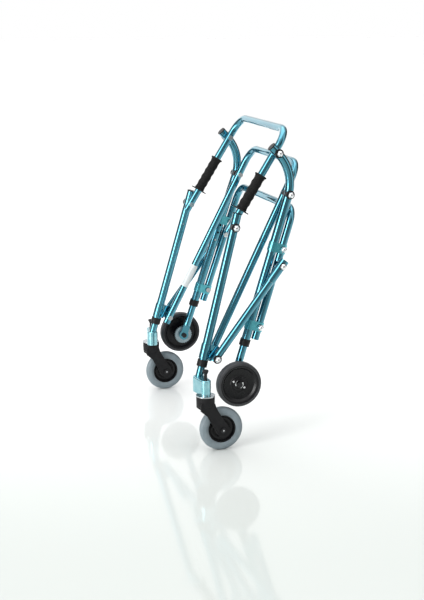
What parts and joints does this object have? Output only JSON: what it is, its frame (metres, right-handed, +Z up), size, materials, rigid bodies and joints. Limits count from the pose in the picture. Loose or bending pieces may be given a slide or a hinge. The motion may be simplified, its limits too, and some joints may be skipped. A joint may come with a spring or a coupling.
{
  "type": "walking frame",
  "caption": "Folding posterior walking frame on caster front wheels and ratchet rear wheels, folded flat, with padded handles, scissor frame and telescoping braces.",
  "frame": {"origin": "on the floor under the front casters, on the middle plane and at the middle of the folded frame's depth", "axes": "+Z up, +Y the way the user walks, +X to the user's right; folded, with the open side of the frame in front"},
  "size_m": [0.656, 0.3434, 0.8938],
  "materials": {
    "teal_tube": "glossy teal anodised",
    "teal_cast": "glossy teal",
    "chrome": "polished",
    "steel": "satin",
    "black_plastic": "matte",
    "black_fork": "satin",
    "black_hub": "gloss",
    "grey_tyre": "matte",
    "dark_tyre": "matte",
    "grip": "ribbed",
    "label": "blank sticker"
  },
  "bodies": {
    "front_legs": {"front_leg_tube_left": "teal_tube", "front_leg_tube_right": "teal_tube", "front_leg_ends": "black_plastic", "front_bracket_left": "teal_cast", "front_bracket_right": "teal_cast", "front_pivot_bolts": "steel", "front_pivot_washers": "black_plastic", "front_cap_nuts": "chrome"},
    "handlebar": {"handlebar_tube": "teal_tube", "grip_left": "grip", "grip_right": "grip"},
    "rear_frame": {"rear_leg_tube_left": "teal_tube", "rear_leg_tube_right": "teal_tube", "rear_leg_caps": "black_plastic", "rear_leg_collars": "black_plastic", "rear_crossbar": "teal_tube", "tube_clamps": "teal_cast", "rear_bolts": "steel", "rear_cap_nuts": "chrome", "rear_pivot_washers": "black_plastic"},
    "scissor": {"scissor_frame": "teal_tube", "scissor_bolts": "steel", "scissor_label": "label"},
    "brace_inner": {"brace_inner_tubes": "steel", "brace_heads": "teal_cast", "brace_bolts": "chrome"},
    "brace_outer": {"brace_outer_tubes": "teal_tube", "brace_foot_bolts": "chrome"},
    "front_inner_left": {"front_inner_leg_left": "teal_tube", "caster_housing_left": "teal_cast", "bearing_plate_left": "steel"},
    "swivel_lock_left": {"swivel_knob_left": "black_plastic"},
    "caster_left": {"caster_stem_left": "steel", "caster_fork_left": "black_fork", "front_axle_left": "steel"},
    "front_wheel_left": {"front_rim_left": "black_hub", "front_tyre_left": "grey_tyre"},
    "rear_inner_left": {"rear_inner_leg_left": "teal_tube", "ratchet_ring_left": "steel", "rear_axle_left": "steel"},
    "rear_wheel_left": {"rear_rim_left": "black_hub", "rear_tyre_left": "dark_tyre"},
    "front_height_button_left": {"front_button_left": "steel"},
    "rear_height_button_left": {"rear_button_left": "steel"},
    "front_inner_right": {"front_inner_leg_right": "teal_tube", "caster_housing_right": "teal_cast", "bearing_plate_right": "steel"},
    "swivel_lock_right": {"swivel_knob_right": "black_plastic"},
    "caster_right": {"caster_stem_right": "steel", "caster_fork_right": "black_fork", "front_axle_right": "steel"},
    "front_wheel_right": {"front_rim_right": "black_hub", "front_tyre_right": "grey_tyre"},
    "rear_inner_right": {"rear_inner_leg_right": "teal_tube", "ratchet_ring_right": "steel", "rear_axle_right": "steel"},
    "rear_wheel_right": {"rear_rim_right": "black_hub", "rear_tyre_right": "dark_tyre"},
    "front_height_button_right": {"front_button_right": "steel"},
    "rear_height_button_right": {"rear_button_right": "steel"}
  },
  "joints": [
    {"name": "fold", "type": "hinge", "parent": "front_legs", "child": "handlebar", "pos_m": [0, 0.0365, 0.62], "axis": [1, 0, 0], "range_deg": [0, 61.67]},
    {"name": "rear_fold", "type": "hinge", "parent": "handlebar", "child": "rear_frame", "pos_m": [0, -0.0895, 0.822], "axis": [1, 0, 0], "range_deg": [-107.26, 0]},
    {"name": "scissor_fold", "type": "hinge", "parent": "front_legs", "child": "scissor", "pos_m": [0, 0.103, 0.259], "axis": [1, 0, 0], "range_deg": [0, 28.29]},
    {"name": "brace_fold", "type": "hinge", "parent": "rear_frame", "child": "brace_inner", "pos_m": [0, -0.08746, 0.5121], "axis": [1, 0, 0], "range_deg": [0, 84.95]},
    {"name": "brace_extend", "type": "slide", "parent": "brace_inner", "child": "brace_outer", "axis": [0, 0.6013, -0.799], "range_m": [0, 0.2226]},
    {"name": "front_height_left", "type": "slide", "parent": "front_legs", "child": "front_inner_left", "axis": [-0.0653, 0.2591, -0.9636], "range_m": [0, 0.1]},
    {"name": "swivel_lock_press_left", "type": "slide", "parent": "front_inner_left", "child": "swivel_lock_left", "axis": [0, 0, -1], "range_m": [0, 0.006], "stiffness_N_per_m": 400, "springref_m": -0.003},
    {"name": "caster_swivel_left", "type": "hinge", "parent": "front_inner_left", "child": "caster_left", "pos_m": [-0.301, 0.1425, 0.15], "axis": [0, 0, 1], "continuous": true},
    {"name": "front_wheel_spin_left", "type": "hinge", "parent": "caster_left", "child": "front_wheel_left", "pos_m": [-0.301, 0.0975, 0.0625], "axis": [1, 0, 0], "continuous": true},
    {"name": "rear_height_left", "type": "slide", "parent": "rear_frame", "child": "rear_inner_left", "axis": [-0.042, 0.3061, -0.9511], "range_m": [-0.05, 0]},
    {"name": "rear_wheel_spin_left", "type": "hinge", "parent": "rear_inner_left", "child": "rear_wheel_left", "pos_m": [-0.301, 0.04547, 0.18721], "axis": [1, 0, 0], "continuous": true},
    {"name": "front_button_press_left", "type": "slide", "parent": "front_inner_left", "child": "front_height_button_left", "axis": [1, 0, 0], "range_m": [0, 0.004]},
    {"name": "rear_button_press_left", "type": "slide", "parent": "rear_inner_left", "child": "rear_height_button_left", "axis": [1, 0, 0], "range_m": [0, 0.004]},
    {"name": "front_height_right", "type": "slide", "parent": "front_legs", "child": "front_inner_right", "axis": [0.0653, 0.2591, -0.9636], "range_m": [0, 0.1]},
    {"name": "swivel_lock_press_right", "type": "slide", "parent": "front_inner_right", "child": "swivel_lock_right", "axis": [0, 0, -1], "range_m": [0, 0.006], "stiffness_N_per_m": 400, "springref_m": -0.003},
    {"name": "caster_swivel_right", "type": "hinge", "parent": "front_inner_right", "child": "caster_right", "pos_m": [0.301, 0.1425, 0.15], "axis": [0, 0, 1], "continuous": true},
    {"name": "front_wheel_spin_right", "type": "hinge", "parent": "caster_right", "child": "front_wheel_right", "pos_m": [0.301, 0.0975, 0.0625], "axis": [1, 0, 0], "continuous": true},
    {"name": "rear_height_right", "type": "slide", "parent": "rear_frame", "child": "rear_inner_right", "axis": [0.042, 0.3061, -0.9511], "range_m": [-0.05, 0]},
    {"name": "rear_wheel_spin_right", "type": "hinge", "parent": "rear_inner_right", "child": "rear_wheel_right", "pos_m": [0.301, 0.04547, 0.18721], "axis": [1, 0, 0], "continuous": true},
    {"name": "front_button_press_right", "type": "slide", "parent": "front_inner_right", "child": "front_height_button_right", "axis": [-1, 0, 0], "range_m": [0, 0.004]},
    {"name": "rear_button_press_right", "type": "slide", "parent": "rear_inner_right", "child": "rear_height_button_right", "axis": [-1, 0, 0], "range_m": [0, 0.004]}
  ],
  "couplings": [
    {"joint": "rear_fold", "follows": "fold", "ratio": -1.7384},
    {"joint": "scissor_fold", "follows": "fold", "ratio": 0.45799},
    {"joint": "brace_fold", "follows": "fold", "ratio": 1.3767},
    {"joint": "brace_extend", "follows": "fold", "m_per_rad": 0.20659}
  ]
}
